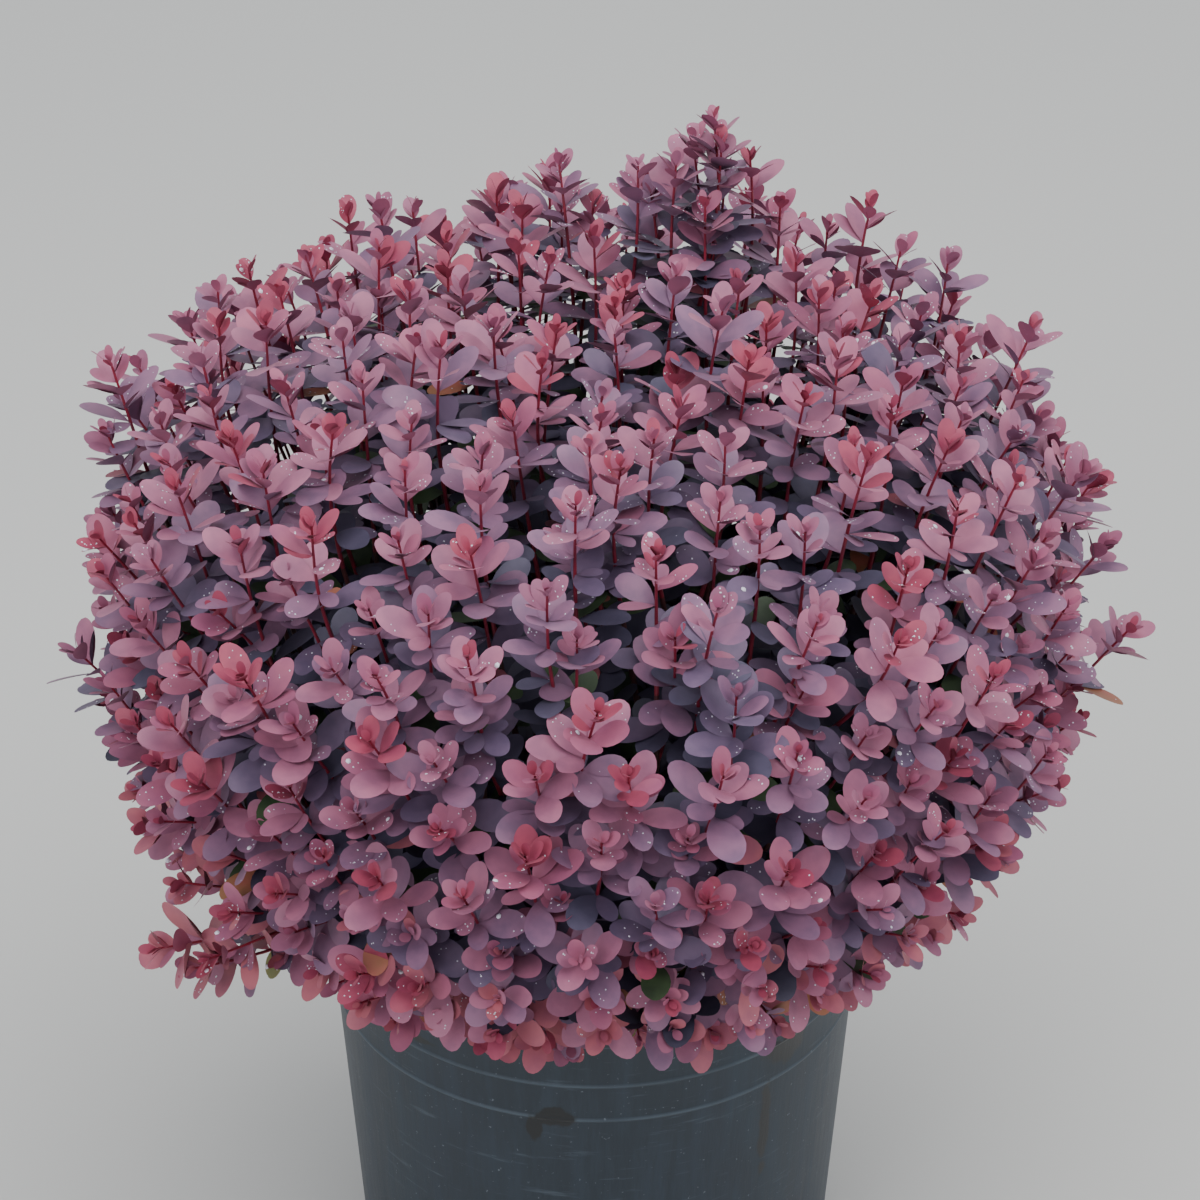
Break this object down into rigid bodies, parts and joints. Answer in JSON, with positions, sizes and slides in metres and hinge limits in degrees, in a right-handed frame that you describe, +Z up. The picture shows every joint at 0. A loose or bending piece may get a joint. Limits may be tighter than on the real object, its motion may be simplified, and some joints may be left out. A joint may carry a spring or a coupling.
{
  "type": "potted japanese barberry",
  "caption": "Dwarf purple-leaved barberry, a dense round mound of upright shoots, in a round black plastic nursery pot.",
  "frame": {"origin": "middle of the pot's flat underside, on the surface that the pot stands on", "axes": "+Z up along the pot's axis, -Y towards the front of the plant, +X to its right"},
  "size_m": [0.5462, 0.5226, 0.615],
  "materials": {
    "pot": "black polyethylene, moulded, scuffed and weathered to a satin grey",
    "soil": "damp bark-based potting mix",
    "bark": "rough grey-brown bark",
    "foliage": "matt purple, rose and red leaves with rain drops"
  },
  "bodies": {
    "root": {"pot": "pot", "soil": "soil", "stem_foot": "bark", "bough_low_1": "bark", "bough_low_2": "bark", "bough_low_3": "bark", "bough_low_4": "bark", "bough_low_5": "bark", "bough_low_6": "bark", "bough_low_7": "bark", "bough_low_8": "bark", "bough_high_1": "bark", "bough_high_2": "bark", "bough_high_3": "bark", "bough_high_4": "bark", "bough_high_5": "bark", "bough_top": "bark", "foliage_low_1": "foliage", "foliage_low_2": "foliage", "foliage_low_3": "foliage", "foliage_low_4": "foliage", "foliage_low_5": "foliage", "foliage_low_6": "foliage", "foliage_low_7": "foliage", "foliage_low_8": "foliage", "foliage_high_1": "foliage", "foliage_high_2": "foliage", "foliage_high_3": "foliage", "foliage_high_4": "foliage", "foliage_high_5": "foliage", "foliage_top": "foliage"}
  },
  "joints": []
}
